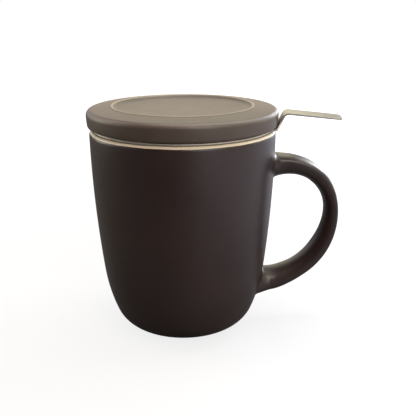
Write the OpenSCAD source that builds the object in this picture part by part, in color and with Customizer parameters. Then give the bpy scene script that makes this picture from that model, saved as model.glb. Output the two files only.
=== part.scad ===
// Lidded tea mug with a lift-out infuser.
// The mug stands on z = 0 with its axis on the z axis. The handle points along +x and the finger tab
// close to it.

/* [Mug] */
// Outside diameter at the lip
lip_d = 90; // [86:1:94]
// Height from the foot to the crest of the lip
mug_h = 102; // [98:0.5:112]
// Thickness of the thrown wall and of the floor
wall = 4; // [3.6:0.1:4.4]
// Lean of the wall from upright where it leaves the lip, in degrees
lip_lean = 0.6; // [0:0.1:1.5]
// Lean of the wall where the belly starts to turn in, in degrees
belly_lean = 7.3; // [6.5:0.1:8]
// Outside radius of the belly curve
belly_r = 82; // [70:1:90]
// Lean of the wall where the bottom corner starts, in degrees
corner_lean = 22; // [20:1:24]
// Outside radius of the bottom corner
corner_r = 16; // [14:0.5:17]
// Outside diameter of the foot ring
foot_d = 44; // [42:1:48]
// Height of the foot ring under the body
foot_h = 1.1; // [0.6:0.1:1.6]

/* [Handle] */
// Reach of the handle's centre line from the mug's axis
handle_reach = 74.4; // [72:0.2:78]
// Height of the centre line where the upper limb leaves the wall
handle_top = 83.4; // [80:0.2:86]
// Height of the centre line where the lower limb meets the wall
handle_low = 23.4; // [21:0.2:26]
// Thickness of the grip, seen from the side
grip_t = 7.6; // [6.5:0.1:9]
// Width of the grip, seen from the end
grip_w = 15.6; // [13:0.2:18]

/* [Lid] */
// Largest outside diameter of the lid
lid_d = 92.3; // [91.5:0.1:92.6]
// Height of the lid above the steel rim, up to its raised ring
lid_h = 10.4; // [9.5:0.1:11.5]
// Radius of the shoulder at the top of the lid's side
shoulder_r = 2.6; // [2.5:0.1:3.5]
// Diameter of the raised ring round the dish
ring_d = 68; // [64:1:72]
// Depth of the dish under the raised ring
dish_depth = 1.8; // [1.4:0.1:2.2]
// Depth of the locating skirt under the lid
skirt_depth = 5; // [4:0.5:6]

/* [Infuser] */
// Thickness of the rim sheet
rim_t = 0.8; // [0.5:0.1:1]
// Outside diameter of the flat rim
rim_d = 87; // [86.5:0.5:89]
// Thickness of the basket sheet
sheet_t = 0.4; // [0.3:0.1:0.5]
// Outside diameter of the perforated basket
basket_d = 64; // [60:1:66]
// Height of the basket's base above the table
basket_base = 26; // [24:1:34]
// Width of the finger tab
tab_w = 13; // [9:0.5:15]
// Reach of the finger tab from the mug's axis
tab_reach = 76; // [70:0.1:84]
// Height of the tab's bend above the rim
tab_rise = 7.5; // [4:0.1:9]
// Fall of the finger strip towards its tip, in degrees
tab_fall = 5.5; // [0:0.5:10]
// Turn of the infuser in the mug, from the handle's direction, in degrees
infuser_turn = -5; // [-30:1:30]

/* [Hidden] */
$fn = 96;

// Mug: the outside is three tangent arcs from the lip down to the foot, and the inside runs parallel to them
lip_r = lip_d / 2;
lip_outer = 0.6 * wall;
lip_inner = 0.4 * wall;
side_top = mug_h - lip_outer;
belly_drop = belly_r * (sin(corner_lean) - sin(belly_lean));
corner_drop = corner_r * (1 - sin(corner_lean));
side_r = (side_top - foot_h - belly_drop - corner_drop) / (sin(belly_lean) - sin(lip_lean));
side_centre = [lip_r - side_r * cos(lip_lean), side_top + side_r * sin(lip_lean)];
belly_centre = side_centre + (side_r - belly_r) * [cos(belly_lean), -sin(belly_lean)];
corner_centre = belly_centre + (belly_r - corner_r) * [cos(corner_lean), -sin(corner_lean)];
foot_r = foot_d / 2;
foot_w = 4.5;
foot_edge = 0.5;
foot_lean = acos((foot_r - corner_centre.x) / corner_r);

// Handle: stations along its centre line, joined by a smooth curve. Each is a share of the reach past
// the lip and of the height between the limbs, then the thickness and the width over those of the grip
handle_shape = [
  [-0.42, 0.993, 1.85, 1.6],
  [-0.1, 0.993, 1.62, 1.34],
  [0, 0.993, 1.5, 1.18],
  [0.05, 0.994, 1.41, 1.06],
  [0.14, 0.996, 1.31, 1],
  [0.277, 0.993, 1.22, 1],
  [0.417, 0.98, 1.14, 1],
  [0.603, 0.943, 1.085, 1],
  [0.766, 0.88, 1.05, 1],
  [0.904, 0.778, 0.925, 1],
  [0.973, 0.663, 0.85, 1],
  [0.98, 0.55, 0.87, 1],
  [0.932, 0.427, 0.96, 1],
  [0.82, 0.301, 1.06, 1],
  [0.632, 0.178, 1.08, 1],
  [0.419, 0.094, 1.1, 1],
  [0.205, 0.039, 1.235, 1],
  [0.013, 0.006, 1.37, 1],
  [-0.1, -0.002, 1.42, 1.04],
  [-0.17, -0.006, 1.45, 1.16],
  [-0.23, -0.007, 1.5, 1.32],
  [-0.4, -0.008, 1.65, 1.6],
  [-0.6, -0.009, 1.75, 1.6]
];
handle_stations = [
  for (s = handle_shape)
    [
      lip_r + s[0] * (handle_reach - lip_r),
      handle_low + s[1] * (handle_top - handle_low),
      s[2] * grip_t,
      s[3] * grip_w
    ]
];
handle_steps = 3;
handle_sides = 28;
outer_bulge = 3.4;
inner_bulge = 2.2;
widest = 0.45;

// Lid: stands on the steel rim by its seat, clears the rim outside the seat, and its skirt drops into the
// infuser's collar
fit_gap = 0.8;
rim_top = mug_h + rim_t;
lid_top = rim_top + lid_h;
lid_r = lid_d / 2;
ring_r = ring_d / 2;
ring_round = 1.2;
top_slope = 8;
dish_slope = 40;
dish_fillet = 4;
side_lean_top = 1;
side_lean_low = 8;
lower_r = 1.2;
seat_r = 42;
seat_step = 0.6;
shoulder_x = lid_r - shoulder_r;
shoulder_z = lid_top - ring_round + ring_round * cos(top_slope) - shoulder_r * cos(top_slope)
  - (shoulder_x + shoulder_r * sin(top_slope) - ring_r - ring_round * sin(top_slope)) * tan(top_slope);
lower_z = rim_top + seat_step + lower_r;
side_drop = shoulder_z - lower_z - shoulder_r * sin(side_lean_top) + lower_r * sin(side_lean_low);
lid_side_r = side_drop / (sin(side_lean_low) - sin(side_lean_top));
lid_side_centre = [shoulder_x, shoulder_z]
  - (lid_side_r - shoulder_r) * [cos(side_lean_top), -sin(side_lean_top)];
lower_centre = lid_side_centre + (lid_side_r - lower_r) * [cos(side_lean_low), -sin(side_lean_low)];
dish_turn = (ring_round + dish_fillet) * (1 - cos(dish_slope));
dish_line = (dish_depth - dish_turn) / tan(dish_slope);
dish_floor_r = ring_r - (ring_round + dish_fillet) * sin(dish_slope) - dish_line;
ceiling_z = rim_top + 3;

// Infuser: rim and finger tab are one pressing, and the collar hangs from it inside the lip
collar_r = lip_r - wall - fit_gap;
collar_band = 6;
collar_step = 4;
collar_skirt = 10;
skirt_r = collar_r - sheet_t - fit_gap;
skirt_w = 4;
skirt_round = 1.5;
basket_r = basket_d / 2;
collar_low = mug_h - collar_band - collar_step - collar_skirt;
lap = 3;
base_top = basket_base + sheet_t;
ring_lip = 2.5;
ring_band = 4;
wall_hole_r = 0.9;
wall_hole_rows = 8;
wall_holes_round = 24;
wall_hole_low = base_top + ring_band + 4;
wall_hole_pitch = (collar_low - 4 - wall_hole_low) / (wall_hole_rows - 1);
base_hole_r = 0.8;
base_hole_pitch = 4.4;
rim_r = rim_d / 2;
tab_root_x = lip_r + 0.5;
tab_lean = 64;
tab_bend_low = 1.2;
tab_bend_high = 2.6;
tab_corner = 2.5;
tab_flare = 3;
tab_flare_run = 2.8;

// Points along an arc, both ends included
function arc(centre, r, from, to, steps) = [
  for (i = [0:steps])
    let (a = from + (to - from) * i / steps)
      centre + r * [cos(a), sin(a)]
];

// The mug's wall from the lip down, set in from the outside by depth
function wall_line(depth, end_lean) = concat(
  arc(side_centre, side_r - depth, -lip_lean, -belly_lean, 8),
  arc(belly_centre, belly_r - depth, -belly_lean, -corner_lean, 6),
  arc(corner_centre, corner_r - depth, -corner_lean, -end_lean, 10)
);

function backwards(list) = [for (i = [len(list) - 1:-1:0]) list[i]];

function outside_line() = backwards(wall_line(0, foot_lean));

// How place, thickness and width change for each millimetre of path at a station. The spans beside it count
// by their lengths, so the curve stays even where the stations lie close together
function handle_slope(i) =
  let (
    back = handle_stations[i] - handle_stations[i - 1],
    ahead = handle_stations[i + 1] - handle_stations[i],
    back_run = norm([back.x, back.y]),
    ahead_run = norm([ahead.x, ahead.y])
  )
  (back / back_run * ahead_run + ahead / ahead_run * back_run) / (back_run + ahead_run);

// The handle at a part t of the way from a station to the next
function handle_point(i, t) =
  let (
    from = handle_stations[i],
    to = handle_stations[i + 1],
    run = norm([to.x - from.x, to.y - from.y]),
    eased = t * t * (3 - 2 * t)
  )
  from + (to - from) * eased + run * t * (1 - t) * ((1 - t) * handle_slope(i) - t * handle_slope(i + 1));

function handle_path() = [
  for (i = [1:len(handle_stations) - 3], k = [0:handle_steps - 1])
    handle_point(i, k / handle_steps)
];

// A superellipse's coordinate: a higher power gives a flatter face with tighter corners
function bulge(v, power) = sign(v) * pow(abs(v), 2 / power);

// One section of the handle, square to the path. It is flat outside and tapers to a round inside, so its
// widest line lies nearer to the outside than the path
function handle_ring(path, i) =
  let (
    here = path[i],
    before = path[max(i - 1, 0)],
    after = path[min(i + 1, len(path) - 1)],
    run = [after.x - before.x, after.y - before.y],
    inwards = [run.y, -run.x] / norm(run),
    middle = widest * here[2] / 2
  )
  [
    for (k = [0:handle_sides - 1])
      let (
        a = 360 * k / handle_sides,
        inner = cos(a) > 0,
        power = inner ? inner_bulge : outer_bulge,
        depth = here[2] / 2 + (inner ? middle : -middle),
        deep = bulge(cos(a), power) * depth - middle,
        side = bulge(sin(a), power) * here[3] / 2
      )
        [here.x + inwards.x * deep, side, here.y + inwards.y * deep]
  ];

module handle_sweep() {
  path = handle_path();
  rings = len(path);
  points = [for (i = [0:rings - 1]) each handle_ring(path, i)];
  start_face = [for (k = [0:handle_sides - 1]) k];
  end_face = [for (k = [handle_sides - 1:-1:0]) (rings - 1) * handle_sides + k];
  sides = [
    for (i = [0:rings - 2], k = [0:handle_sides - 1])
      let (
        a = i * handle_sides + k,
        b = i * handle_sides + (k + 1) % handle_sides
      )
        each [[a, a + handle_sides, b], [b, a + handle_sides, b + handle_sides]]
  ];
  polyhedron(points, concat([start_face], sides, [end_face]));
}

// Thrown stoneware body with a rounded lip and a bare foot ring
module mug_body() {
  floor_line = [
    [0, foot_h],
    [foot_r - foot_w, foot_h],
    [foot_r - foot_w, foot_edge],
    [foot_r - foot_w + foot_edge, 0],
    [foot_r - foot_edge, 0],
    [foot_r, foot_edge]
  ];
  lip_line = concat(
    arc([lip_r - lip_outer, side_top], lip_outer, 10, 90, 8),
    arc([lip_r - wall + lip_inner, mug_h - lip_inner], lip_inner, 90, 170, 6)
  );
  color("#3a3230")
    rotate_extrude()
      polygon(concat(floor_line, outside_line(), lip_line, wall_line(wall, 90), [[0, foot_h + wall]]));
}

// Pulled handle, cut to the curve of the wall that it is joined to
module mug_handle() {
  color("#3f3634")
    difference() {
      handle_sweep();
      rotate_extrude()
        polygon(concat([[0, foot_h]], outside_line(), [[0, side_top]]));
    }
}

// Lift-off lid with a shallow dish on top and a locating skirt below
module lid() {
  skirt_z = rim_top - skirt_depth;
  underside = concat(
    [[0, ceiling_z], [skirt_r - skirt_w, ceiling_z]],
    arc([skirt_r - skirt_w + skirt_round, skirt_z + skirt_round], skirt_round, 180, 270, 5),
    arc([skirt_r - skirt_round, skirt_z + skirt_round], skirt_round, 270, 360, 5),
    [[skirt_r, rim_top], [seat_r, rim_top], [seat_r + seat_step, rim_top + seat_step]]
  );
  side = concat(
    arc(lower_centre, lower_r, -90, -side_lean_low, 6),
    arc(lid_side_centre, lid_side_r, -side_lean_low, -side_lean_top, 4),
    arc([shoulder_x, shoulder_z], shoulder_r, -side_lean_top, 90 - top_slope, 10)
  );
  dish = concat(
    arc([ring_r, lid_top - ring_round], ring_round, 90 - top_slope, 90 + dish_slope, 6),
    arc([dish_floor_r, lid_top - dish_depth + dish_fillet], dish_fillet, dish_slope - 90, -90, 6),
    [[0, lid_top - dish_depth]]
  );
  color("#5b5048")
    rotate_extrude()
      polygon(concat(underside, side, dish));
}

// Centre line of the bent tab, from inside the rim to the tip
function tab_line() =
  let (
    rim_z = mug_h + rim_t / 2,
    foot_turn = tab_bend_low * tan(tab_lean / 2),
    bend_x = tab_root_x + tab_rise / tan(tab_lean),
    bend_z = rim_z + tab_rise,
    head_turn = tab_bend_high * tan((tab_lean + tab_fall) / 2),
    foot_arc = [tab_root_x - foot_turn, rim_z + tab_bend_low],
    head_arc = [
      bend_x - head_turn * cos(tab_lean) + tab_bend_high * sin(tab_lean),
      bend_z - head_turn * sin(tab_lean) - tab_bend_high * cos(tab_lean)
    ]
  )
  concat(
    [[rim_r - 3, rim_z]],
    arc(foot_arc, tab_bend_low, -90, tab_lean - 90, 6),
    arc(head_arc, tab_bend_high, tab_lean + 90, 90 - tab_fall, 8),
    [[tab_reach, bend_z - (tab_reach - bend_x) * tan(tab_fall)]]
  );

// The same line, moved to one side of the sheet
function beside(line, gap) = [
  for (i = [0:len(line) - 1])
    let (
      run = line[min(i + 1, len(line) - 1)] - line[max(i - 1, 0)]
    )
      line[i] + gap * [-run.y, run.x] / norm(run)
];

// One edge of the tab in plan: it runs in from the ring by a smooth double curve
function tab_edge() =
  let (
    from = sqrt(rim_r * rim_r - pow(tab_w / 2 + tab_flare, 2)),
    run = tab_root_x + tab_flare_run - from
  )
  [for (t = [0:0.1:1]) [from + run * t, tab_w / 2 + tab_flare * (1 - t * t * (3 - 2 * t))]];

module tab() {
  line = tab_line();
  edge = tab_edge();
  tip_x = tab_reach - tab_corner;
  rotate(infuser_turn) intersection() {
    rotate([90, 0, 0])
      linear_extrude(tab_w + 2 * tab_flare, center = true)
        polygon(concat(beside(line, rim_t / 2), backwards(beside(line, -rim_t / 2))));
    translate([0, 0, mug_h - 1])
      linear_extrude(tab_rise + 5) {
        polygon(concat([for (p = edge) [p.x, -p.y]], [for (p = backwards(edge)) p]));
        translate([tab_root_x, -tab_w / 2])
          square([tip_x - tab_root_x, tab_w]);
        translate([tip_x - 1, tab_corner - tab_w / 2])
          square([tab_corner + 2, tab_w - 2 * tab_corner]);
        for (side = [-1, 1])
          translate([tip_x, side * (tab_w / 2 - tab_corner)])
            circle(tab_corner);
      }
  }
}

// Flat steel ring that rests on the lip, with the finger tab bent up from it
module infuser_rim() {
  color("silver")
    difference() {
      union() {
        translate([0, 0, mug_h])
          cylinder(h = rim_t, r = rim_r);
        tab();
      }
      translate([0, 0, mug_h - 1])
        cylinder(h = rim_t + 2, r = collar_r - sheet_t);
    }
}

// Solid drawn band under the rim, stepped in to the basket's size
module infuser_collar() {
  outer = [
    [basket_r + sheet_t, collar_low],
    [basket_r + sheet_t, mug_h - collar_band - collar_step],
    [collar_r, mug_h - collar_band],
    [collar_r, mug_h]
  ];
  color("silver")
    rotate_extrude()
      polygon(concat(outer, [for (p = backwards(outer)) p - [sheet_t, 0]]));
}

// Rolled perforated sheet, welded inside the collar
module infuser_wall() {
  color("silver")
    difference() {
      translate([0, 0, base_top])
        cylinder(h = collar_low + lap - base_top, r = basket_r);
      translate([0, 0, base_top - 1])
        cylinder(h = collar_low + lap - base_top + 2, r = basket_r - sheet_t);
      for (row = [0:wall_hole_rows - 1], k = [0:wall_holes_round - 1])
        rotate((k + (row % 2) / 2) * 360 / wall_holes_round)
          translate([basket_r - 1, 0, wall_hole_low + row * wall_hole_pitch])
            rotate([0, 90, 0])
              cylinder(h = 2, r = wall_hole_r);
    }
}

// Perforated disc that closes the basket
module infuser_base() {
  rows = floor(basket_r / base_hole_pitch);
  reach = basket_r - ring_lip - 2 * base_hole_r;
  color("silver")
    translate([0, 0, basket_base])
      linear_extrude(sheet_t)
        difference() {
          circle(basket_r);
          for (row = [-rows:rows], k = [-rows:rows])
            let (
              x = (k + (abs(row) % 2) / 2) * base_hole_pitch,
              y = row * base_hole_pitch * sin(60)
            )
              if (norm([x, y]) < reach)
                translate([x, y])
                  circle(base_hole_r);
        }
}

// Ring crimped over the joint between the basket's wall and base
module infuser_base_ring() {
  section = [
    [basket_r - ring_lip, basket_base - sheet_t],
    [basket_r + sheet_t, basket_base - sheet_t],
    [basket_r + sheet_t, basket_base + ring_band],
    [basket_r, basket_base + ring_band],
    [basket_r, basket_base],
    [basket_r - ring_lip, basket_base]
  ];
  color("silver")
    rotate_extrude()
      polygon(section);
}

mug_body();
mug_handle();
lid();
infuser_rim();
infuser_collar();
infuser_wall();
infuser_base();
infuser_base_ring();
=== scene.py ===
# %% [markdown]
# # A stoneware tea mug with a lift-out infuser
# The object has a thrown body with a loop handle, a steel basket that hangs from the lip by a flat rim,
# and a loose lid that lies on that rim. A solid model of it exists already. It is loaded first and never
# changed, and each piece made here takes the place of one of its parts.

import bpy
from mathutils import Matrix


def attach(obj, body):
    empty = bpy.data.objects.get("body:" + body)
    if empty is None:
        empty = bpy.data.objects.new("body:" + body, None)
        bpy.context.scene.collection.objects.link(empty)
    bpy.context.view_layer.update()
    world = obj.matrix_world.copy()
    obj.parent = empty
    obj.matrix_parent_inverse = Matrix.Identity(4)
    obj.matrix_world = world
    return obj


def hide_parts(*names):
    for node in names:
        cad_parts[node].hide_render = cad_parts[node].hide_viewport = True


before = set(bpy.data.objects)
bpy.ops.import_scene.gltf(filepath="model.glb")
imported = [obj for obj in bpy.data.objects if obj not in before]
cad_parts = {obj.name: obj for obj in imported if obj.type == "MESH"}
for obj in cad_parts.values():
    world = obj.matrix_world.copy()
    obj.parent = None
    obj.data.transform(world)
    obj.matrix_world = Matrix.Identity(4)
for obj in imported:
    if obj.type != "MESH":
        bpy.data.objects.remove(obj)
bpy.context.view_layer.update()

# %% The modules that the lesson uses
from math import acos, atan2, cos, degrees, hypot, pi, radians, sin, sqrt, tan

import bmesh
import bpy
from mathutils import Euler, Matrix, Vector

MM = 0.001
print("one millimetre is", MM, "of the scene's metres")

# %% [markdown]
# ## Arcs, and the wheel
# The body, the lid and most of the infuser are round about the same upright axis, so one half of each
# outline is enough. An outline is a list of (distance from the axis, height) points in millimetres. Where
# it is round, the points come from arcs, so that every curve keeps its radius however finely it is cut.

# %% Points along an arc
def arc(centre, radius, start, end, steps):
    """The points of an arc, both ends included, with angles in degrees from straight out."""
    points = []
    for i in range(steps + 1):
        a = radians(start + (end - start) * i / steps)
        points.append((centre[0] + radius * cos(a), centre[1] + radius * sin(a)))
    return points


quarter = [(round(r, 2), round(z, 2)) for r, z in arc((0, 0), 1, 0, 90, 3)]
print("a quarter circle in 3 steps:", quarter)

# %% [markdown]
# A potter's wheel is a Spin in Blender. A plane is added where the outline starts and merged to one point,
# the point is extruded along the outline, and the outline is spun once round. Where the outline touches
# the axis, the spin leaves many points in one place, so its doubles are merged. Then the faces are turned
# outwards.

# %% Turn an outline on the wheel
def start_point(name, place):
    """A new object with a single point, in edit mode, at a place in metres."""
    bpy.ops.object.select_all(action="DESELECT")
    bpy.ops.mesh.primitive_plane_add(size=MM, location=place)
    piece = bpy.context.object
    piece.name = piece.data.name = name
    bpy.ops.object.transform_apply(location=True, rotation=True, scale=True)
    bpy.ops.object.mode_set(mode="EDIT")
    bpy.ops.mesh.select_all(action="SELECT")
    bpy.ops.mesh.merge(type="CENTER")
    return piece


def draw_outline(outline, closed):
    """Extrudes the selected point, or the selected edge, along an outline."""
    ends = outline[1:] + ([outline[0]] if closed else [])
    for before, after in zip(outline, ends):
        step = ((after[0] - before[0]) * MM, 0, (after[1] - before[1]) * MM)
        bpy.ops.mesh.extrude_region_move(TRANSFORM_OT_translate={"value": step})


def tidy(sharpest=40):
    """Merges doubles, turns the faces outwards, leaves edit mode and shades the flatter edges smooth."""
    bpy.ops.mesh.select_all(action="SELECT")
    bpy.ops.mesh.remove_doubles(threshold=0.002 * MM)
    bpy.ops.mesh.normals_make_consistent(inside=False)
    bpy.ops.object.mode_set(mode="OBJECT")
    bpy.ops.object.shade_smooth_by_angle(angle=radians(sharpest))


def turned(name, outline, steps=144, closed=False, sharpest=40):
    """A piece turned from an outline. A closed outline is a section that doesn't reach the axis."""
    piece = start_point(name, (outline[0][0] * MM, 0, outline[0][1] * MM))
    draw_outline(outline, closed)
    bpy.ops.mesh.select_all(action="SELECT")
    bpy.ops.mesh.spin(steps=steps, angle=2 * pi, center=(0, 0, 0), axis=(0, 0, 1))
    tidy(sharpest)
    return piece


def report(piece):
    """Prints a piece's size and how many faces it has."""
    low, high = Vector(piece.bound_box[0]), Vector(piece.bound_box[6])
    size = [round(v / MM, 1) for v in high - low]
    print(f"{piece.name}: {size} mm, {len(piece.data.polygons)} faces")


print("the wheel is ready")

# %% [markdown]
# ## The body
# The side leaves the lip nearly upright and leans in more and more towards the bottom: a long flat arc,
# then a belly arc, then the round corner over the foot. Each starts in the direction in which the one
# above it ends, so their centres lie on one line at each joint. The inside runs parallel to the outside.

# %% The body's sizes
LIP_R = 45
WALL = 4
MUG_H = 102
LIP_OUTER, LIP_INNER = 0.6 * WALL, 0.4 * WALL
SIDE_TOP = MUG_H - LIP_OUTER
GLAZE_Z = 100.85
LIP_LEAN, BELLY_LEAN, CORNER_LEAN = 0.6, 7.3, 22
BELLY_R, CORNER_R = 82, 16
FOOT_R, FOOT_H, FOOT_W, FOOT_ROUND = 22, 1.1, 4.5, 0.6

drop = SIDE_TOP - FOOT_H
drop -= BELLY_R * (sin(radians(CORNER_LEAN)) - sin(radians(BELLY_LEAN)))
drop -= CORNER_R * (1 - sin(radians(CORNER_LEAN)))
SIDE_R = drop / (sin(radians(BELLY_LEAN)) - sin(radians(LIP_LEAN)))


def next_centre(centre, change, lean):
    """The centre of an arc that carries on from another whose radius is larger by change."""
    return (centre[0] + change * cos(radians(lean)), centre[1] - change * sin(radians(lean)))


SIDE_CENTRE = next_centre((LIP_R, SIDE_TOP), -SIDE_R, LIP_LEAN)
BELLY_CENTRE = next_centre(SIDE_CENTRE, SIDE_R - BELLY_R, BELLY_LEAN)
CORNER_CENTRE = next_centre(BELLY_CENTRE, BELLY_R - CORNER_R, CORNER_LEAN)
print(f"the side is an arc of {SIDE_R:.0f} mm radius, the corner's centre is {CORNER_CENTRE[0]:.1f} mm out")

# %% The wall's line, outside or inside
def wall_line(depth, end_lean):
    """The wall from the lip down, set in from the outside by depth."""
    return (
        arc(SIDE_CENTRE, SIDE_R - depth, -LIP_LEAN, -BELLY_LEAN, 18)
        + arc(BELLY_CENTRE, BELLY_R - depth, -BELLY_LEAN, -CORNER_LEAN, 10)[1:]
        + arc(CORNER_CENTRE, CORNER_R - depth, -CORNER_LEAN, -end_lean, 16)[1:]
    )


def wall_radius(z):
    """The outside radius of the wall at a height."""
    if z > BELLY_CENTRE[1] - BELLY_R * sin(radians(BELLY_LEAN)):
        centre, radius = SIDE_CENTRE, SIDE_R
    elif z > CORNER_CENTRE[1] - CORNER_R * sin(radians(CORNER_LEAN)):
        centre, radius = BELLY_CENTRE, BELLY_R
    else:
        centre, radius = CORNER_CENTRE, CORNER_R
    return centre[0] + sqrt(max(radius**2 - (z - centre[1]) ** 2, 0))


radii = [round(wall_radius(z), 2) for z in (100, 50, 20)]
print("the wall's radius at the lip, the middle and the belly:", radii)

# %% Turn the body
FOOT_LEAN = degrees(acos((FOOT_R - CORNER_CENTRE[0]) / CORNER_R))
foot_in = FOOT_R - FOOT_W
foot_line = (
    [(0, FOOT_H), (foot_in - FOOT_ROUND, FOOT_H)]
    + arc((foot_in + FOOT_ROUND, FOOT_ROUND), FOOT_ROUND, 180, 270, 4)
    + arc((FOOT_R - FOOT_ROUND, FOOT_ROUND), FOOT_ROUND, 270, 360, 4)
)
lip_line = (
    arc((LIP_R - LIP_OUTER, SIDE_TOP), LIP_OUTER, 6, 90, 14)
    + arc((LIP_R - WALL + LIP_INNER, MUG_H - LIP_INNER), LIP_INNER, 90, 172, 8)[1:]
)
body_line = foot_line + wall_line(0, FOOT_LEAN)[::-1] + lip_line + wall_line(WALL, 90) + [(0, FOOT_H + WALL)]
body = turned("mug_shell", body_line)
report(body)

# %% [markdown]
# ## The handle
# A pulled handle is a strip of clay that is wider than it is thick, thicker at both ends, and smoothed
# into the wall with a wet finger. Its section is flat outside and tapers to a round inside: two half
# superellipses that meet at the widest line, which lies nearer to the outside. It is swept along a smooth
# curve. Every ring of points is extruded from the one before, which gives each point a line of its own
# along the handle.

# %% The handle's stations
# Each station is a share of the way out from the lip's radius to the handle's reach, a share of the way up
# from its low to its top, its thickness and its width. The last two are shares of the grip's.
HANDLE_REACH, HANDLE_TOP, HANDLE_LOW = 74.4, 83.4, 23.4
GRIP_T, GRIP_W = 7.6, 15.6
HANDLE_STATIONS = [
    (-0.42, 0.993, 1.85, 1.6), (-0.1, 0.993, 1.62, 1.34), (0, 0.993, 1.5, 1.18),
    (0.05, 0.994, 1.41, 1.06), (0.14, 0.996, 1.31, 1), (0.277, 0.993, 1.22, 1), (0.417, 0.98, 1.14, 1),
    (0.603, 0.943, 1.085, 1), (0.766, 0.88, 1.05, 1), (0.904, 0.778, 0.925, 1), (0.973, 0.663, 0.85, 1),
    (0.98, 0.55, 0.87, 1), (0.932, 0.427, 0.96, 1), (0.82, 0.301, 1.06, 1), (0.632, 0.178, 1.08, 1),
    (0.419, 0.094, 1.1, 1), (0.205, 0.039, 1.235, 1), (0.013, 0.006, 1.37, 1),
    (-0.1, -0.002, 1.42, 1.04), (-0.17, -0.006, 1.45, 1.16), (-0.23, -0.007, 1.5, 1.32),
    (-0.4, -0.008, 1.65, 1.6), (-0.6, -0.009, 1.75, 1.6),
]


def station(share):
    """A station's place, thickness and width in millimetres, from its shares of the handle's sizes."""
    return Vector((
        LIP_R + share[0] * (HANDLE_REACH - LIP_R),
        HANDLE_LOW + share[1] * (HANDLE_TOP - HANDLE_LOW),
        share[2] * GRIP_T,
        share[3] * GRIP_W,
    ))


def slope(stations, i):
    """How place, thickness and width change per millimetre of path at a station."""
    back, ahead = stations[i] - stations[i - 1], stations[i + 1] - stations[i]
    back_run, ahead_run = back.xy.length, ahead.xy.length
    return (back / back_run * ahead_run + ahead / ahead_run * back_run) / (back_run + ahead_run)


def handle_point(stations, i, t):
    """The handle at a part t of the way from a station to the next, on a smooth curve through all of them."""
    start, end = stations[i], stations[i + 1]
    run = (end - start).xy.length
    eased = t * t * (3 - 2 * t)
    bend = slope(stations, i) * (1 - t) - slope(stations, i + 1) * t
    return start + (end - start) * eased + bend * (run * t * (1 - t))


def handle_path(steps):
    """The handle's centre line, with its thickness and width, from the upper joint to the lower one."""
    stations = [station(share) for share in HANDLE_STATIONS]
    return [handle_point(stations, i, k / steps) for i in range(1, len(stations) - 2) for k in range(steps)]


PATH = handle_path(5)
path_ends = [tuple(round(v, 1) for v in PATH[i]) for i in (0, -1)]
print(len(PATH), "stations, from", path_ends[0], "to", path_ends[1])

# %% The handle's section at each station
SIDES = 48
OUTER_POWER, INNER_POWER = 3.4, 2.2
WIDEST = 0.45


def bulge(value, power):
    """A superellipse's coordinate: a higher power gives a flatter face with tighter corners."""
    return (1 if value >= 0 else -1) * abs(value) ** (2 / power)


def section(path, i):
    """The ring of points round the handle at one station, square to the path."""
    here, before, after = path[i], path[max(i - 1, 0)], path[min(i + 1, len(path) - 1)]
    run = Vector((after[0] - before[0], after[1] - before[1])).normalized()
    middle = WIDEST * here[2] / 2
    ring = []
    for k in range(SIDES):
        a = 2 * pi * k / SIDES
        if cos(a) > 0:
            power, depth = INNER_POWER, here[2] / 2 + middle
        else:
            power, depth = OUTER_POWER, here[2] / 2 - middle
        inward = bulge(cos(a), power) * depth - middle
        side = bulge(sin(a), power) * here[3] / 2
        ring.append(Vector((here[0] + run.y * inward, side, here[1] - run.x * inward)))
    return ring


RINGS = [section(PATH, i) for i in range(len(PATH))]
print("each ring has", len(RINGS[0]), "points")

# %% [markdown]
# The two joints are fillets. Every line along the handle is followed to the point where it would enter the
# wall. A little before that point the line leaves the handle, and it bends away until it lies in the wall.
# The bend is a curve with three control points: the place where it leaves, at a set height over the wall,
# the crossing, and a place on the wall that is the same length away from the crossing. So the fillet is
# smooth at both of its edges whatever the angle between handle and wall.

# %% Bend the ends of the handle into the wall
FILLET, FILLET_STEPS, FREE_GAP = 1.3, 7, 0.4
WALL_SKIN = 0.005


def above_wall(point):
    """How far a point lies outside the wall."""
    return hypot(point.x, point.y) - wall_radius(point.z)


def on_wall(point):
    """The point of the wall's outside nearest to a point, at the same height."""
    around = atan2(point.y, point.x)
    radius = wall_radius(point.z) + WALL_SKIN
    return Vector((radius * cos(around), radius * sin(around), point.z))


def crossing(line, height):
    """Where a line of points, taken from inside the wall outwards, first rises to a height over the wall."""
    for before, after in zip(line, line[1:]):
        low, high = above_wall(before), above_wall(after)
        if low <= height < high:
            return before.lerp(after, (height - low) / (high - low))
    raise ValueError("the handle doesn't reach the wall")


def bezier(t, start, corner, end):
    """A part t of the way along the curve from start to end that bends towards the corner."""
    return start * (1 - t) ** 2 + corner * 2 * t * (1 - t) + end * t**2


def fillet(rings):
    """Rings that carry the handle's first or last free ring down into the wall."""
    lines = list(zip(*rings))
    leave = [crossing(line, FILLET) for line in lines]
    enter = [on_wall(crossing(line, 0)) for line in lines]
    middle = sum(enter, Vector()) / SIDES
    ends = []
    for point in enter:
        up = Vector((point.x, point.y, 0)).normalized()
        away = point - middle
        away -= up * away.dot(up)
        ends.append(on_wall(point + away.normalized() * FILLET))
    bent = []
    for i in range(FILLET_STEPS + 1):
        t = i / FILLET_STEPS
        bent.append([bezier(t, *points) for points in zip(leave, enter, ends)])
    return bent


free = [i for i, ring in enumerate(RINGS) if min(above_wall(p) for p in ring) > FILLET + FREE_GAP]
first, last = free[0], free[-1]
upper = fillet(RINGS[:first + 1])
lower = fillet(RINGS[last:][::-1])
HANDLE_RINGS = upper[::-1] + RINGS[first:last + 1] + lower
print(f"the free handle runs from ring {first} to ring {last}, with {len(HANDLE_RINGS)} rings in all")

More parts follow.
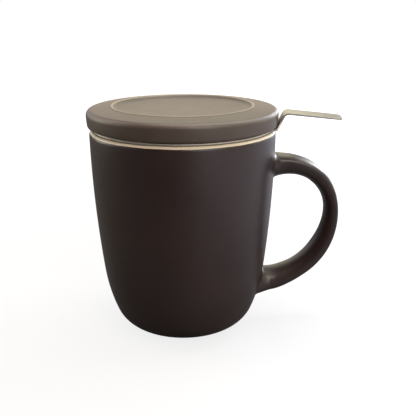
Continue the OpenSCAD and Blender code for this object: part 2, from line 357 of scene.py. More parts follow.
# %% Sweep the handle
def sweep(name, rings):
    """Extrudes a ring of edges from each ring of points to the next."""
    bpy.ops.object.select_all(action="DESELECT")
    bpy.ops.mesh.primitive_circle_add(vertices=len(rings[0]), radius=MM, location=(0, 0, 0))
    piece = bpy.context.object
    piece.name = piece.data.name = name
    bpy.ops.object.mode_set(mode="EDIT")
    bpy.ops.mesh.select_all(action="SELECT")
    mesh = bmesh.from_edit_mesh(piece.data)
    for vertex, point in zip(mesh.verts, rings[0]):
        vertex.co = point * MM
    for before, after in zip(rings, rings[1:]):
        bmesh.update_edit_mesh(piece.data)
        bpy.ops.mesh.extrude_region_move(TRANSFORM_OT_translate={"value": (0, 0, 0)})
        mesh = bmesh.from_edit_mesh(piece.data)
        places = {tuple(round(v, 5) for v in point * MM * 1000): k for k, point in enumerate(before)}
        for vertex in [v for v in mesh.verts if v.select]:
            key = tuple(round(v, 5) for v in vertex.co * 1000)
            found = places.get(key)
            if found is None:
                found = min(range(len(before)), key=lambda k: (before[k] * MM - vertex.co).length)
            vertex.co = after[found] * MM
    bmesh.update_edit_mesh(piece.data)
    return piece


handle = sweep("loop_handle", HANDLE_RINGS)
tidy(60)
report(handle)

# %% [markdown]
# ## The lid
# The lid is a thick disc. Its side leans in slightly towards the bottom, its shoulder is round, and from
# there a sloping band rises to a thin bead round a shallow dish, whose floor is a very shallow bowl.
# Underneath, a short skirt drops into the infuser's collar and keeps the lid from sliding off.

# %% The lid's sizes
RIM_T, RIM_R = 0.8, 43.5
RIM_TOP = MUG_H + RIM_T
LID_R, LID_H = 46.15, 10.4
LID_TOP = RIM_TOP + LID_H
RING_R, RING_ROUND = 34, 1.2
BEAD_R, BEAD_SIDE, BAND_SLOPE = 0.75, 50, 6.4
HOLLOW_GAP, HOLLOW_RUN = 0.25, 0.7
SHOULDER_R, LOWER_R = 2.6, 1.2
TOP_SLOPE = 8
SIDE_LEAN_TOP, SIDE_LEAN_LOW = 1, 8
DISH_DEPTH, DISH_SLOPE, DISH_FILLET = 1.8, 40, 4
BOWL, BOWL_LEAN = 0.45, 1.7
COLLAR_R = LIP_R - WALL - 0.8
SHEET = 0.4
SKIRT_R = COLLAR_R - SHEET - 0.8
SKIRT_W, SKIRT_DEPTH, SKIRT_ROUND, CEILING_ROUND = 4, 5, 1.5, 1
SEAT_R, SEAT_STEP = 42, 0.6
CEILING_Z = RIM_TOP + 3

top_lean = radians(TOP_SLOPE)
shoulder_x = LID_R - SHOULDER_R
shoulder_z = LID_TOP - RING_ROUND + (RING_ROUND - SHOULDER_R) * cos(top_lean)
shoulder_z -= (shoulder_x - RING_R + (SHOULDER_R - RING_ROUND) * sin(top_lean)) * tan(top_lean)
lower_z = RIM_TOP + SEAT_STEP + LOWER_R
lean_top, lean_low = sin(radians(SIDE_LEAN_TOP)), sin(radians(SIDE_LEAN_LOW))
lid_side_r = (shoulder_z - lower_z - SHOULDER_R * lean_top + LOWER_R * lean_low) / (lean_low - lean_top)
side_centre = next_centre((shoulder_x, shoulder_z), SHOULDER_R - lid_side_r, SIDE_LEAN_TOP)
lower_centre = next_centre(side_centre, lid_side_r - LOWER_R, SIDE_LEAN_LOW)
print(f"the shoulder's centre is {shoulder_x:.2f} mm out and {shoulder_z:.2f} mm up")

# %% The bead and the dish
band_lean, bead_side = radians(BAND_SLOPE), radians(BEAD_SIDE)
band = tan(band_lean)
band_end = (shoulder_x + SHOULDER_R * sin(band_lean), shoulder_z + SHOULDER_R * cos(band_lean))
bead = (RING_R, LID_TOP - BEAD_R)
bead_foot = (bead[0] + BEAD_R * cos(bead_side), bead[1] + BEAD_R * sin(bead_side))


def on_band(r):
    """The point of the flat band between shoulder and bead at a distance from the axis."""
    return (r, band_end[1] + (band_end[0] - r) * band)


corner_r = bead_foot[0] + HOLLOW_GAP
hollow_ends = (on_band(corner_r + HOLLOW_RUN), on_band(corner_r), bead_foot)
hollow = [tuple(bezier(t, *values) for values in zip(*hollow_ends)) for t in (0, 0.2, 0.4, 0.6, 0.8)]
floor_z = LID_TOP - DISH_DEPTH
steep = radians(90 - DISH_SLOPE)
bead_end = (bead[0] - BEAD_R * cos(steep), bead[1] + BEAD_R * sin(steep))
arc_top = floor_z + BOWL + DISH_FILLET * (1 - sin(steep))
dish_r = bead_end[0] - (bead_end[1] - arc_top) * tan(steep) - DISH_FILLET * cos(steep)
dish_centre = (dish_r, floor_z + DISH_FILLET + BOWL)
dish_arc = arc(dish_centre, DISH_FILLET, DISH_SLOPE - 90, BOWL_LEAN - 90, 8)
edge_r, edge_z = dish_arc[-1]
bowl_h = edge_z - floor_z
bowl_line = [(edge_r * t, floor_z + bowl_h * t**2) for t in (0.85, 0.7, 0.55, 0.4, 0.25, 0.1, 0)]
bead_h = LID_TOP - on_band(RING_R)[1]
print(f"the bead stands {bead_h:.2f} mm over the band, and the bowl is {bowl_h:.2f} mm deep")

# %% Turn the lid
skirt_z, skirt_in = RIM_TOP - SKIRT_DEPTH, SKIRT_R - SKIRT_W
lid_line = (
    [(0, CEILING_Z), (skirt_in - CEILING_ROUND - 0.2, CEILING_Z)]
    + arc((skirt_in - CEILING_ROUND, CEILING_Z - CEILING_ROUND), CEILING_ROUND, 90, 0, 4)
    + arc((skirt_in + SKIRT_ROUND, skirt_z + SKIRT_ROUND), SKIRT_ROUND, 180, 270, 7)
    + arc((SKIRT_R - SKIRT_ROUND, skirt_z + SKIRT_ROUND), SKIRT_ROUND, 270, 360, 7)
    + [(SKIRT_R, RIM_TOP), (SEAT_R, RIM_TOP)]
    + [(SEAT_R + 0.2, RIM_TOP + 0.1), (SEAT_R + 0.4, RIM_TOP + SEAT_STEP)]
    + arc(lower_centre, LOWER_R, -90, -SIDE_LEAN_LOW, 10)
    + arc(side_centre, lid_side_r, -SIDE_LEAN_LOW, -SIDE_LEAN_TOP, 8)[1:]
    + arc((shoulder_x, shoulder_z), SHOULDER_R, -SIDE_LEAN_TOP, 90 - BAND_SLOPE, 20)[1:]
    + hollow
    + arc(bead, BEAD_R, BEAD_SIDE, 90 + DISH_SLOPE, 12)
    + dish_arc
    + bowl_line
)
lid = turned("dished_lid", lid_line)
report(lid)

# %% [markdown]
# ## The infuser's rim and finger tab
# Both are one pressing of thin sheet: a flat ring that rests on the lip, and a tongue that is bent up past
# the lid and then out over the handle. The tongue is an edge that is extruded along the bend's line. It
# gets its rounded corners and its thickness afterwards, and a Boolean joins it to the ring.

# %% The tab's bent line
RIM_Z = MUG_H + RIM_T / 2
TAB_W, TAB_REACH, TAB_RISE, TAB_FALL, TAB_LEAN, TAB_TURN = 13, 76, 7.5, 5.5, 64, -5
BEND_LOW, BEND_HIGH, TAB_CORNER, TAB_BEVEL = 1.2, 2.6, 2.5, 0.1
TAB_FLARE, FLARE_RUN, TAB_OVERLAP, TAB_ROOT = 3, 2.8, 3, 0.5
root_x = LIP_R + TAB_ROOT
bend_x = root_x + TAB_RISE / tan(radians(TAB_LEAN))
bend_z = RIM_Z + TAB_RISE
foot_turn = BEND_LOW * tan(radians(TAB_LEAN / 2))
head_turn = BEND_HIGH * tan(radians((TAB_LEAN + TAB_FALL) / 2))
head_centre = (
    bend_x - head_turn * cos(radians(TAB_LEAN)) + BEND_HIGH * sin(radians(TAB_LEAN)),
    bend_z - head_turn * sin(radians(TAB_LEAN)) - BEND_HIGH * cos(radians(TAB_LEAN)),
)
foot = arc((root_x - foot_turn, RIM_Z + BEND_LOW), BEND_LOW, -90, TAB_LEAN - 90, 6)
head = arc(head_centre, BEND_HIGH, TAB_LEAN + 90, 90 - TAB_FALL, 10)
flare_from = sqrt(RIM_R**2 - (TAB_W / 2 + TAB_FLARE) ** 2)
tab_line = (
    [(RIM_R - TAB_OVERLAP, RIM_Z)]
    + [(flare_from + (foot[0][0] - flare_from) * i / 6, RIM_Z) for i in range(6)]
    + foot
    + [tuple(Vector(foot[-1]).lerp(Vector(head[0]), i / 5)) for i in range(1, 5)]
    + head
    + [(TAB_REACH, bend_z - (TAB_REACH - bend_x) * tan(radians(TAB_FALL)))]
)
print(f"the tab bends at {bend_x:.1f} mm out and {bend_z:.1f} mm up, and ends {tab_line[-1][1]:.1f} mm up")

# %% Extrude, corner and thicken the tab
def apply_modifier(piece, kind, **settings):
    """Adds a modifier with these settings and applies it."""
    bpy.ops.object.select_all(action="DESELECT")
    piece.select_set(True)
    bpy.context.view_layer.objects.active = piece
    modifier = piece.modifiers.new(kind.title(), kind)
    for name, value in settings.items():
        setattr(modifier, name, value)
    bpy.ops.object.modifier_apply(modifier=modifier.name)


tab = start_point("finger_tab", (tab_line[0][0] * MM, -TAB_W / 2 * MM, tab_line[0][1] * MM))
bpy.ops.mesh.extrude_region_move(TRANSFORM_OT_translate={"value": (0, TAB_W * MM, 0)})
bpy.ops.mesh.select_all(action="SELECT")
draw_outline(tab_line, False)
bpy.ops.mesh.select_all(action="DESELECT")
mesh = bmesh.from_edit_mesh(tab.data)
for vertex in mesh.verts:
    t = min(max((vertex.co.x / MM - flare_from) / (root_x + FLARE_RUN - flare_from), 0), 1)
    vertex.co.y *= 1 + TAB_FLARE * (1 - t * t * (3 - 2 * t)) / (TAB_W / 2)
    vertex.select = vertex.co.x > (TAB_REACH - 0.1) * MM
mesh.select_flush(True)
bmesh.update_edit_mesh(tab.data)
bpy.ops.mesh.bevel(offset=TAB_CORNER * MM, segments=8, affect="VERTICES")
tidy()
apply_modifier(tab, "SOLIDIFY", thickness=RIM_T * MM, offset=0, use_even_offset=True)
bpy.ops.object.mode_set(mode="EDIT")
tidy()
report(tab)

# %% Turn the ring and join the tab to it
RIM_EDGE = 0.38
ring_in, ring_out = COLLAR_R - SHEET, RIM_R - RIM_EDGE
ring_line = (
    [(ring_in, RIM_TOP), (ring_in, MUG_H)]
    + arc((ring_out, MUG_H + RIM_EDGE), RIM_EDGE, 270, 360, 5)
    + arc((ring_out, RIM_TOP - RIM_EDGE), RIM_EDGE, 0, 90, 5)
)
rim = turned("rim_and_tab", ring_line, steps=192, closed=True, sharpest=30)
tab.data.transform(Matrix.Rotation(radians(TAB_TURN), 4, "Z"))
apply_modifier(tab, "BEVEL", width=TAB_BEVEL * MM, segments=2, limit_method="ANGLE", angle_limit=radians(50))
apply_modifier(rim, "BOOLEAN", object=tab, operation="UNION", solver="EXACT")
bpy.data.objects.remove(tab)
bpy.ops.object.mode_set(mode="EDIT")
tidy(30)
report(rim)

# %% [markdown]
# ## The collar and the base ring
# The collar is drawn from sheet: a straight band inside the lip, a step, and a narrow skirt that the
# basket is welded into. The base ring is a narrow angle that is crimped over the edge of the basket. Both
# are turned from closed sections, and every bend has the small radius that a press leaves.

# %% Turn the collar
BASKET_R, BASKET_BASE = 32, 26
COLLAR_BAND, COLLAR_STEP, COLLAR_SKIRT, COLLAR_BEND = 6, 4, 10, 1.2
band_z = MUG_H - COLLAR_BAND
skirt_top = band_z - COLLAR_STEP
COLLAR_LOW = skirt_top - COLLAR_SKIRT
narrow_r = BASKET_R + SHEET


def round_bends(line, radius, steps):
    """A line of straight stretches with each inner corner rounded, from radius before it to radius after."""
    rounded = [line[0]]
    for before, corner, after in zip(line, line[1:], line[2:]):
        corner = Vector(corner)
        start = corner + (Vector(before) - corner).normalized() * radius
        end = corner + (Vector(after) - corner).normalized() * radius
        rounded += [tuple(bezier(i / steps, start, corner, end)) for i in range(steps + 1)]
    return rounded + [line[-1]]


outer = [(narrow_r, COLLAR_LOW), (narrow_r, skirt_top), (COLLAR_R, band_z), (COLLAR_R, MUG_H)]
outer_line = round_bends(outer, COLLAR_BEND, 5)
inner_line = round_bends([(r - SHEET, z) for r, z in outer], COLLAR_BEND, 5)
collar = turned("basket_collar", outer_line + inner_line[::-1], closed=True)
report(collar)

# %% Turn the base ring
RING_LIP, RING_BAND = 2.5, 4
OUTER_BEND, INNER_BEND = 0.35, 0.05
ring_low, ring_high, lip_in = BASKET_BASE - SHEET, BASKET_BASE + RING_BAND, BASKET_R - RING_LIP
ring_outer = [(lip_in, ring_low), (narrow_r, ring_low), (narrow_r, ring_high)]
ring_inner = [(BASKET_R, ring_high), (BASKET_R, BASKET_BASE), (lip_in, BASKET_BASE)]
ring_section = round_bends(ring_outer, OUTER_BEND, 4) + round_bends(ring_inner, INNER_BEND, 1)
base_ring = turned("basket_ring", ring_section, closed=True)
report(base_ring)

# %% [markdown]
# ## The perforated sheets
# Tea leaves need holes of about a millimetre, so the sheet has well over a thousand. Cutting them one by
# one with Booleans would take minutes. A grid is quicker: a vertex bevel turns each chosen point of it
# into a small octagon, and deleting these leaves a sheet of round holes. Rolling the sheet is a Simple
# Deform bend of a full turn.

# %% A flat sheet of holes
HOLE_R, PITCH = 0.62, 2.35


def perforated(name, width, height, columns, rows, holed):
    """A flat sheet with a hole at each crossing of its grid where holed says so."""
    bpy.ops.object.select_all(action="DESELECT")
    bpy.ops.mesh.primitive_grid_add(x_subdivisions=columns, y_subdivisions=rows, size=1, location=(0, 0, 0))
    sheet = bpy.context.object
    sheet.name = sheet.data.name = name
    sheet.scale = (width * MM, height * MM, 1)
    bpy.ops.object.transform_apply(location=True, rotation=True, scale=True)
    bpy.ops.object.mode_set(mode="EDIT")
    bpy.ops.mesh.select_all(action="DESELECT")
    mesh = bmesh.from_edit_mesh(sheet.data)
    for vertex in mesh.verts:
        vertex.select = not vertex.is_boundary and holed(vertex.co.x / MM, vertex.co.y / MM)
    mesh.select_flush(True)
    bmesh.update_edit_mesh(sheet.data)
    bpy.ops.mesh.bevel(offset=HOLE_R * MM, segments=2, affect="VERTICES", profile=0.5)
    mesh = bmesh.from_edit_mesh(sheet.data)
    bpy.ops.mesh.select_all(action="DESELECT")
    bpy.ops.mesh.select_mode(type="FACE")
    largest = 1.1 * pi * (HOLE_R * MM) ** 2
    for face in mesh.faces:
        face.select = face.calc_area() < largest
    bmesh.update_edit_mesh(sheet.data)
    bpy.ops.mesh.delete(type="FACE")
    bpy.ops.mesh.select_mode(type="VERT")
    bpy.ops.object.mode_set(mode="OBJECT")
    return sheet


print(f"holes of {2 * HOLE_R} mm, {PITCH} mm apart")

# %% Roll the basket's wall
LAP, MARGIN = 3, 4
WALL_LOW, WALL_HIGH = BASKET_BASE + SHEET, COLLAR_LOW + LAP
wall_h = WALL_HIGH - WALL_LOW
round_length = 2 * pi * (BASKET_R - SHEET / 2)
columns, rows = round(round_length / PITCH), round(wall_h / PITCH)
basket = perforated(
    "basket_wall", round_length, wall_h, columns, rows, lambda x, y: abs(y) < wall_h / 2 - MARGIN
)
basket.data.transform(Matrix.Rotation(pi / 2, 4, "X"))
apply_modifier(basket, "SIMPLE_DEFORM", deform_method="BEND", deform_axis="Z", angle=2 * pi)
low, high = Vector(basket.bound_box[0]), Vector(basket.bound_box[6])
middle = (low + high) / 2
middle.z = -(WALL_LOW + WALL_HIGH) / 2 * MM
basket.data.transform(Matrix.Translation(-middle))
bpy.ops.object.mode_set(mode="EDIT")
tidy(60)
apply_modifier(basket, "SOLIDIFY", thickness=SHEET * MM, offset=0)
report(basket)

# %% Cut the basket's base round
DISC_R, DISC_T = BASKET_R - 0.15, SHEET * 0.98
HOLED_R, EDGE_R, TRIM = BASKET_R - 3.6, BASKET_R - 3, 0.9
side, rows = 2 * BASKET_R, round(2 * BASKET_R / PITCH)
base = perforated("basket_base", side, side, rows, rows, lambda x, y: hypot(x, y) < HOLED_R)
bpy.ops.object.mode_set(mode="EDIT")
bpy.ops.mesh.select_all(action="DESELECT")
bpy.ops.mesh.select_mode(type="FACE")
mesh = bmesh.from_edit_mesh(base.data)
for face in mesh.faces:
    face.select = face.calc_center_median().length > (DISC_R - TRIM) * MM
bmesh.update_edit_mesh(base.data)
bpy.ops.mesh.delete(type="FACE")
bpy.ops.mesh.select_mode(type="VERT")
mesh = bmesh.from_edit_mesh(base.data)
for vertex in mesh.verts:
    if vertex.is_boundary and vertex.co.length > EDGE_R * MM:
        vertex.co *= DISC_R * MM / vertex.co.length
    vertex.co.z = (BASKET_BASE + SHEET / 2) * MM
bmesh.update_edit_mesh(base.data)
tidy(60)
apply_modifier(base, "SOLIDIFY", thickness=DISC_T * MM, offset=0)
report(base)

# %% [markdown]
# ## Materials as arithmetic
# A finish is easier to read as a formula than as a web of boxes. Flow wraps one output of a node, and
# adding or multiplying flows adds the Math nodes. Finish holds one set of nodes, for a material or for the
# world. Every pattern reads Object coordinates, which here are metres in the mug's own frame.

# %% One value, and one set of nodes
class Flow:
    """A value that runs through a finish. Arithmetic on it adds Math nodes."""

    def __init__(self, finish, socket):
        self.finish, self.socket = finish, socket

    def __add__(self, other):
        return self.finish.math("ADD", self, other)

    def __sub__(self, other):
        return self.finish.math("SUBTRACT", self, other)

    def __rsub__(self, other):
        return self.finish.math("SUBTRACT", other, self)

    def __mul__(self, other):
        return self.finish.math("MULTIPLY", self, other)

    __radd__, __rmul__ = __add__, __mul__


class Finish:
    """The nodes of a material or of the world."""

    def __init__(self, owner):
        owner.use_nodes = True
        self.owner, self.nodes, self.links = owner, owner.node_tree.nodes, owner.node_tree.links
        self.nodes.clear()

    def add(self, kind, settings=None, sockets=None, output=0):
        """Adds a node with its settings, then the values or links of its sockets."""
        node = self.nodes.new(kind)
        for name, value in (settings or {}).items():
            setattr(node, name, value)
        for name, value in (sockets or {}).items():
            if isinstance(value, Flow):
                self.links.new(value.socket, node.inputs[name])
            else:
                node.inputs[name].default_value = value
        return Flow(self, node.outputs[output]) if node.outputs else None

    def math(self, operation, *values):
        return self.add("ShaderNodeMath", {"operation": operation}, dict(enumerate(values)))

    def place(self):
        """Where a point is, in metres in the mug's frame."""
        return self.add("ShaderNodeTexCoord", output=3)

    def axis(self, name):
        """One coordinate of the place, in millimetres."""
        metres = self.add("ShaderNodeSeparateXYZ", None, {0: self.place()}, "XYZ".index(name))
        return metres * (1 / MM)

    def radius(self):
        """How far a point is from the mug's axis, in millimetres."""
        x, y = self.axis("X"), self.axis("Y")
        return self.math("SQRT", x * x + y * y)

    def grain(self, size, detail=2, stretch=(1, 1, 1)):
        """Soft noise from 0 to 1, in spots of about size millimetres, longer where stretch is under 1."""
        where = self.add("ShaderNodeMapping", None, {"Vector": self.place(), "Scale": stretch})
        sockets = {"Vector": where, "Scale": 1 / (size * MM), "Detail": detail}
        return self.add("ShaderNodeTexNoise", None, sockets)

    def step(self, value, low, high):
        """0 under low, 1 over high and smooth between them."""
        sockets = {"Value": value, "From Min": low, "From Max": high}
        return self.add("ShaderNodeMapRange", {"interpolation_type": "SMOOTHSTEP"}, sockets)

    def mix(self, amount, first, second):
        """A colour that goes from the first to the second."""
        return self.add("ShaderNodeMix", {"data_type": "RGBA"}, {0: amount, 6: first, 7: second}, 2)

    def bump(self, height, depth):
        """A relief whose height from 0 to 1 stands for a depth in millimetres."""
        return self.add("ShaderNodeBump", None, {"Height": height, "Strength": 1, "Distance": depth * MM})

    def surface(self, **sockets):
        """Ends a material with a Principled shader. A socket's name has _ for each space."""
        named = {name.replace("_", " "): value for name, value in sockets.items()}
        shader = self.add("ShaderNodeBsdfPrincipled", None, named)
        self.add("ShaderNodeOutputMaterial", None, {0: shader})


def new_finish(name):
    return Finish(bpy.data.materials.new(name))


def paint(piece, finish, body):
    """Gives a piece its material and its body."""
    piece.data.materials.clear()
    piece.data.materials.append(finish.owner)
    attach(piece, body)


print("finishes can be written as formulas")

# %% [markdown]
# ## Stoneware
# The glaze is a dark brown that fires to a soft sheen. It is never one colour: it pools in slow clouds,
# carries fine iron specks, and has a surface like very fine orange peel. At the lip it stops in a slightly
# wavy line, because the crest was wiped clean, and the pale body shows there. On the very top of the lip,
# where the steel rim rests, the clay is painted dark as shade under the rim. The foot is bare clay. On the
# lid's bead a pale line is painted as a highlight.

# %% Glaze and clay
GLAZE_DARK, GLAZE_BROWN = (0.020, 0.0095, 0.0095, 1), (0.032, 0.0175, 0.0160, 1)
LID_DARK, LID_BROWN = (0.066, 0.047, 0.038, 1), (0.096, 0.072, 0.058, 1)
# The next colour is a painted highlight for the lid's bead.
GLAZE_PAINTED_HIGHLIGHT = (0.24, 0.20, 0.14, 1)
# The next colour is painted shade on the lip's crest, under the steel rim.
CLAY_PAINTED_SHADE = (0.10, 0.085, 0.07, 1)
GLAZE_IOR, GLAZE_WOBBLE = 1.6, 0.3
CLAY_PALE, CLAY_WARM = (0.86, 0.76, 0.60, 1), (0.80, 0.69, 0.53, 1)
CLAY_SPECK, IRON_SPECK = (0.20, 0.13, 0.08, 1), (0.085, 0.062, 0.05, 1)


def clay_colour(finish):
    """Pale clay with warm patches and small brown specks."""
    specks = finish.step(finish.grain(0.45, 0), 0.70, 0.76)
    clay = finish.mix(finish.grain(9, 3), CLAY_PALE, CLAY_WARM)
    return finish.mix(specks * 0.55, clay, CLAY_SPECK)


def glaze_colour(finish, dark, brown):
    """Glaze that goes between two browns in clouds and mottles, with iron specks."""
    clouds = finish.step(finish.grain(30, 3), 0.3, 0.7)
    mottle = finish.grain(3.5, 4)
    specks = finish.step(finish.grain(0.7, 1), 0.68, 0.76)
    glaze = finish.mix(clouds * 0.55 + mottle * 0.45, dark, brown)
    return finish.mix(specks * 0.35, glaze, IRON_SPECK)


def stoneware(name, dark, brown, roughness):
    """Glazed stoneware, bare over the glaze line and at the very foot, with a painted highlight on the bead.
    """
    finish = new_finish(name)
    z = finish.axis("Z")
    wobble = (finish.grain(9, 2) - 0.5) * GLAZE_WOBBLE - finish.axis("Y") * 0.004
    over = finish.step(z + wobble, GLAZE_Z - 0.1, GLAZE_Z + 0.1)
    lip = over * (1 - finish.step(z, MUG_H + 0.2, MUG_H + 0.3))
    foot = 1 - finish.step(z + wobble, 0.45, 0.7)
    bare = finish.math("MAXIMUM", lip, foot)
    peel = finish.grain(1.1, 2) * 0.75 + finish.grain(0.28, 1) * 0.25
    r = finish.radius() + (finish.grain(5, 2) - 0.5) * 0.3
    # A pale ring on the lid's bead: a painted highlight.
    bead_painted_highlight = finish.step(r, RING_R - 0.9, RING_R - 0.5) * (1 - finish.step(r, RING_R + 0.3, RING_R + 0.6))
    bead_painted_highlight = bead_painted_highlight * finish.step(z, LID_TOP - 0.9, LID_TOP - 0.5)
    glaze = finish.mix(bead_painted_highlight, glaze_colour(finish, dark, brown), GLAZE_PAINTED_HIGHLIGHT)
    # A dark band on the lip's crest, under the steel rim: painted shade.
    lip_painted_shade = finish.step(z, MUG_H - 0.45, MUG_H - 0.2)
    clay = finish.mix(lip_painted_shade * 0.85, clay_colour(finish), CLAY_PAINTED_SHADE)
    finish.surface(
        Base_Color=finish.mix(bare, glaze, clay),
        IOR=GLAZE_IOR,
        Roughness=finish.grain(14, 3) * 0.10 + finish.grain(1.3, 2) * 0.08 + bare * 0.12 + roughness,
        Normal=finish.bump(peel * 0.5 + (1 - bare) * 0.5, 0.06),
    )
    return finish


mug_glaze = stoneware("mug_glaze", GLAZE_DARK, GLAZE_BROWN, 0.26)
lid_glaze = stoneware("lid_glaze", LID_DARK, LID_BROWN, 0.37)
print("glazes:", mug_glaze.owner.name, lid_glaze.owner.name)

# %% [markdown]
# The inside of the mug and the underside of the lid have a clear, glossier glaze over the pale clay. It is
# a second material on the same mesh, and the faces that it covers are chosen by their place.

# %% Clear glaze inside
liner = new_finish("clear_liner_glaze")
liner.surface(
    Base_Color=clay_colour(liner),
    Roughness=liner.grain(12, 2) * 0.10 + 0.20,
    Normal=liner.bump(liner.grain(1.6, 2), 0.04),
)


def line_inside(piece, inside):
    """Gives the liner glaze to the faces whose centre, as distance from the axis and height, is inside."""
    piece.data.materials.append(liner.owner)
    count = 0
    for face in piece.data.polygons:
        centre = face.center / MM
        if inside(hypot(centre.x, centre.y), centre.z):
            face.material_index = 1
            count += 1
    print(piece.name, "has", count, "faces with the liner glaze")


paint(body, mug_glaze, "mug")
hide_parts("mug_body")
line_inside(body, lambda r, z: FOOT_H + 1 < z < MUG_H - 1 and r < wall_radius(min(z, SIDE_TOP)) - WALL / 2)
paint(handle, mug_glaze, "mug")
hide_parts("mug_handle")
paint(lid, lid_glaze, "lid")
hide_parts("lid")
line_inside(lid, lambda r, z: r < SKIRT_R + 0.1 and z < CEILING_Z + 0.1)

# %% [markdown]
# ## Steel
# Sheet steel is brushed before it is pressed, so its fine lines run straight along the tab. On the turned
# pieces they run round. The lines are noise that is stretched many times along the brushing, and they
# change the roughness, the colour and the relief a little. The rim's cut edge isn't brushed: it is duller,
# and it is painted paler as a highlight.

# %% Brushed steel
STEEL_PALE, STEEL_GREY = (0.52, 0.49, 0.445, 1), (0.36, 0.34, 0.31, 1)
# The next colour is a painted highlight for the rim's outer edge.
STEEL_PAINTED_HIGHLIGHT = (0.92, 0.88, 0.80, 1)


def steel(name, stretch, roughness):
    """Brushed steel whose lines are longest along the axis with the smallest stretch."""
    finish = new_finish(name)
    lines = finish.grain(0.16, 3, stretch) * 0.6 + finish.grain(0.5, 2, stretch) * 0.4
    smudge = finish.grain(6, 3)
    r = finish.radius()
    # The band at the rim's outer edge is painted paler: a painted highlight. It is also rougher.
    edge_painted_highlight = finish.step(r, RIM_R - 0.5, RIM_R - 0.2) * (1 - finish.step(r, RIM_R + 0.1, RIM_R + 0.3))
    brushed = finish.mix(lines * 0.7 + smudge * 0.3, STEEL_GREY, STEEL_PALE)
    finish.surface(
        Base_Color=finish.mix(edge_painted_highlight, brushed, STEEL_PAINTED_HIGHLIGHT),
        Metallic=1.0,
        Roughness=lines * 0.16 + smudge * 0.10 + edge_painted_highlight * 0.3 + roughness,
        Normal=finish.bump(lines, 0.012),
    )
    return finish


pressed_steel = steel("brushed_steel_sheet", (0.012, 1, 1), 0.26)
turned_steel = steel("brushed_steel_round", (0.05, 0.05, 1), 0.24)
punched_steel = steel("perforated_steel_sheet", (0.06, 0.06, 1), 0.28)
for piece, finish, node, slot in [
    (rim, pressed_steel, "infuser_rim", "brushed_steel"),
    (collar, turned_steel, "infuser_collar", "brushed_steel"),
    (basket, punched_steel, "infuser_wall", "perforated_steel"),
    (base, punched_steel, "infuser_base", "perforated_steel"),
    (base_ring, turned_steel, "infuser_base_ring", "brushed_steel"),
]:
    paint(piece, finish, "infuser")
    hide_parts(node)
    print(piece.name, "has", finish.owner.name)

# %% [markdown]
# ## The studio
# The floor and the world are white to the camera. To the light the world is nearly black and the floor a
# dark grey, so that the dark glaze stays dark. Towards the handle's side the floor is paler and a little
# blue, which gives that side of the mug a cool edge. The camera sees the light that reaches the floor, and
# a glow that makes up the rest of white, so the mug's soft shadow stays on it.

# %% World
def shown(finish):
    """1 for rays that see the background itself, 0 for the rays that light a surface."""
    kinds = ("Is Camera Ray", "Is Transmission Ray")
    rays = [finish.add("ShaderNodeLightPath", None, None, kind) for kind in kinds]
    return finish.math("MINIMUM", rays[0] + rays[1], 1.0)


WHITE, WORLD_DIM = (1, 1, 1, 1), (0.02, 0.02, 0.02, 1)
world = Finish(bpy.data.worlds.new("white_studio"))
bpy.context.scene.world = world.owner
sky = world.mix(shown(world), WORLD_DIM, WHITE)
background = world.add("ShaderNodeBackground", None, {"Color": sky})
world.add("ShaderNodeOutputWorld", None, {0: background})
print("the world gives", WORLD_DIM[0], "of white to surfaces")

# %% Floor
NEAR, FAR = 120, 450
LEFT, RIGHT = -60, 320
FLOOR_R = 4
FLOOR_DARK, FLOOR_GREY, FLOOR_BLUE = (0.095, 0.095, 0.095, 1), (0.105, 0.105, 0.105, 1), (0.38, 0.39, 0.48, 1)
GLOW_LEFT, GLOW_RIGHT = (0.84, 0.84, 0.84, 1), (0.50, 0.50, 0.50, 1)
bpy.ops.object.select_all(action="DESELECT")
bpy.ops.mesh.primitive_circle_add(vertices=96, radius=FLOOR_R, fill_type="NGON", location=(0, 0, 0))
floor = bpy.context.object
floor.name = "floor"
paper = new_finish("white_paper")
rightwards = paper.step(paper.axis("X"), LEFT, RIGHT)
grey = paper.mix(paper.grain(60, 2), FLOOR_DARK, FLOOR_GREY)
rough = paper.add("ShaderNodeBsdfDiffuse", None, {"Color": paper.mix(rightwards, grey, FLOOR_BLUE)})
far = paper.step(paper.radius(), NEAR, FAR)
near_glow = paper.mix(rightwards, GLOW_LEFT, GLOW_RIGHT)
glow = paper.add("ShaderNodeEmission", None, {"Color": paper.mix(far, near_glow, WHITE)})
bright = paper.add("ShaderNodeAddShader", None, {0: rough, 1: glow})
seen = paper.add("ShaderNodeMixShader", None, {0: shown(paper), 1: rough, 2: bright})
paper.add("ShaderNodeOutputMaterial", None, {0: seen})
floor.data.materials.append(paper.owner)
print("the floor is", 2 * FLOOR_R, "m across")

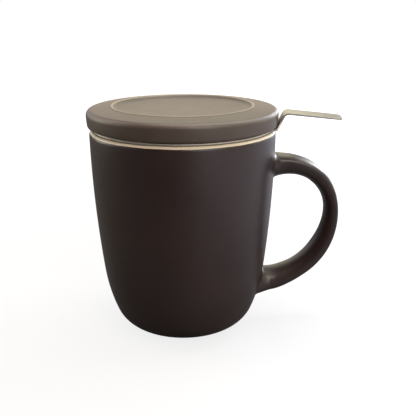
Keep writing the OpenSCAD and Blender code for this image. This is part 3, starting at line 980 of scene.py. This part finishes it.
# %% Lamps
# Each lamp has a name, its turn and rise in degrees, its side in metres, its power in watts and a colour.
AIM = Vector((0.01, 0, 0.06))
LAMPS = [
    ("window_back", 35, 14, 0.50, 1.4, (1, 1, 0.94)),
    ("window_pane", 38, 17, 0.25, 1.9, (0.88, 0.94, 1)),
    ("window_low", 70, 14, 0.50, 1.7, (0.94, 1, 0.93)),
    ("window_high", 70, 42, 0.50, 3.2, (1, 0.96, 0.93)),
    ("window_top", 70, 65, 0.50, 3.7, (0.95, 1, 0.88)),
    ("window_front", 110, 14, 0.50, 0.6, (1, 0.83, 0.5)),
    ("window_front_high", 110, 42, 0.50, 0.8, (0.85, 1, 0.85)),
    ("front_low", 150, 14, 0.50, 1.7, (1, 1, 1)),
    ("front_high", 160, 42, 0.50, 4.6, (1, 0.86, 0.72)),
    ("ceiling", 0, 90, 0.55, 5.6, (1, 0.86, 0.79)),
    ("back_right", 36, 8, 0.42, 1.3, (0.9, 0.94, 1)),
    ("back_low", 0, 14, 0.55, 1.2, (1, 0.87, 0.66)),
    ("back_high", 0, 42, 0.55, 1.0, (0.85, 1, 0.78)),
    ("left_back", -35, 20, 0.55, 0.9, (0.9, 0.9, 1)),
    ("left", -70, 14, 0.55, 3.2, (1, 0.98, 0.78)),
    ("left_high", -70, 42, 0.55, 2.4, (1, 0.92, 0.84)),
    ("left_front", -110, 14, 0.55, 0.5, (1, 0.8, 0.85)),
]


def softbox(name, turn, rise, size, power, colour):
    """A square lamp that faces the mug from a metre away. Turn goes from the back towards the handle."""
    data = bpy.data.lights.new(name, "AREA")
    data.size = size
    data.energy, data.color = power, colour
    lamp = bpy.data.objects.new(name, data)
    bpy.context.scene.collection.objects.link(lamp)
    turn, rise = radians(turn), radians(rise)
    way = Vector((sin(turn) * cos(rise), cos(turn) * cos(rise), sin(rise)))
    lamp.location = AIM + way
    lamp.rotation_euler = way.to_track_quat("Z", "Y").to_euler()
    lamp.visible_camera = False


for lamp in LAMPS:
    softbox(*lamp)
print(len(LAMPS), "lamps")

# %% [markdown]
# ## The camera
# It stands a third of a metre in front of the mug and a little above it, and looks slightly down.

# %% Camera
camera = bpy.data.objects.new("camera", bpy.data.cameras.new("camera"))
bpy.context.scene.collection.objects.link(camera)
camera.location = (0, -0.3362, 0.16497)
camera.rotation_euler = Euler([radians(a) for a in (72.79, 0.108, -2.102)])
camera.data.sensor_width, camera.data.lens = 36, 60.577
camera.data.clip_start, camera.data.clip_end = 0.01, 20
bpy.context.scene.camera = camera
bpy.context.scene.view_settings.view_transform = "Standard"
print("camera at", [round(v, 3) for v in camera.location])


bpy.context.view_layer.update()
